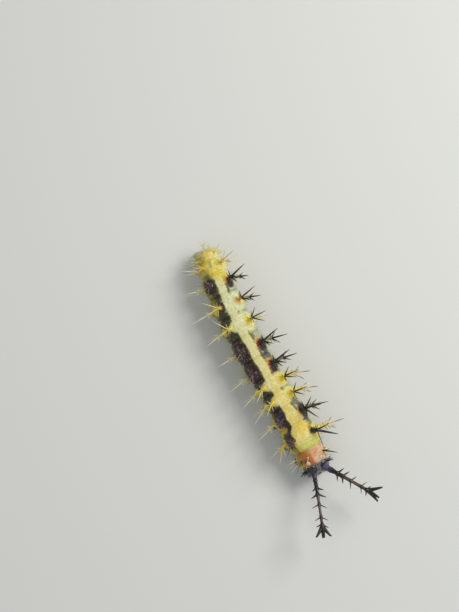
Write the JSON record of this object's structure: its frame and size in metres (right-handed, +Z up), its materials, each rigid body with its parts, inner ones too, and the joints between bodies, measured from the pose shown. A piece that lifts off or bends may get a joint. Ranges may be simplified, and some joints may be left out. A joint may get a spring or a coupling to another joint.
{
  "type": "common castor larva",
  "caption": "Still, life-size larva of the common castor butterfly: segmented body with rows of branched spines, two spined and clubbed head horns, legs and prolegs resting flat.",
  "frame": {"origin": "middle of the bounding box at floor level, under the belly", "axes": "+X along the body towards the head, +Y to the animal's left, +Z up from the floor"},
  "size_m": [0.0244, 0.007, 0.0048],
  "materials": {
    "skin": "soft satin skin, cream back stripe, olive flanks",
    "collar_skin": "soft satin skin, salmon orange",
    "tail_skin": "soft satin skin, yellow",
    "proleg_skin": "soft matte skin, olive to cream",
    "leg_shell": "glossy dark brown shell",
    "head_shell": "glossy black shell with a whitish face mark",
    "horn_shell": "glossy black shell, brownish red along the stem"
  },
  "bodies": {
    "root": {"abdomen_1": "skin", "abdomen_2": "skin", "abdomen_3": "skin", "abdomen_4": "skin", "abdomen_5": "skin", "abdomen_6": "skin", "abdomen_7": "skin", "abdomen_8": "tail_skin", "abdomen_end": "tail_skin", "metathorax": "skin", "mesothorax": "skin", "prothorax": "collar_skin", "head": "head_shell", "horn_left": "horn_shell", "horn_right": "horn_shell", "leg_1_left": "leg_shell", "leg_1_right": "leg_shell", "leg_2_left": "leg_shell", "leg_2_right": "leg_shell", "leg_3_left": "leg_shell", "leg_3_right": "leg_shell", "proleg_3_left": "proleg_skin", "proleg_3_right": "proleg_skin", "proleg_4_left": "proleg_skin", "proleg_4_right": "proleg_skin", "proleg_5_left": "proleg_skin", "proleg_5_right": "proleg_skin", "proleg_6_left": "proleg_skin", "proleg_6_right": "proleg_skin", "proleg_end_left": "proleg_skin", "proleg_end_right": "proleg_skin"}
  },
  "joints": []
}
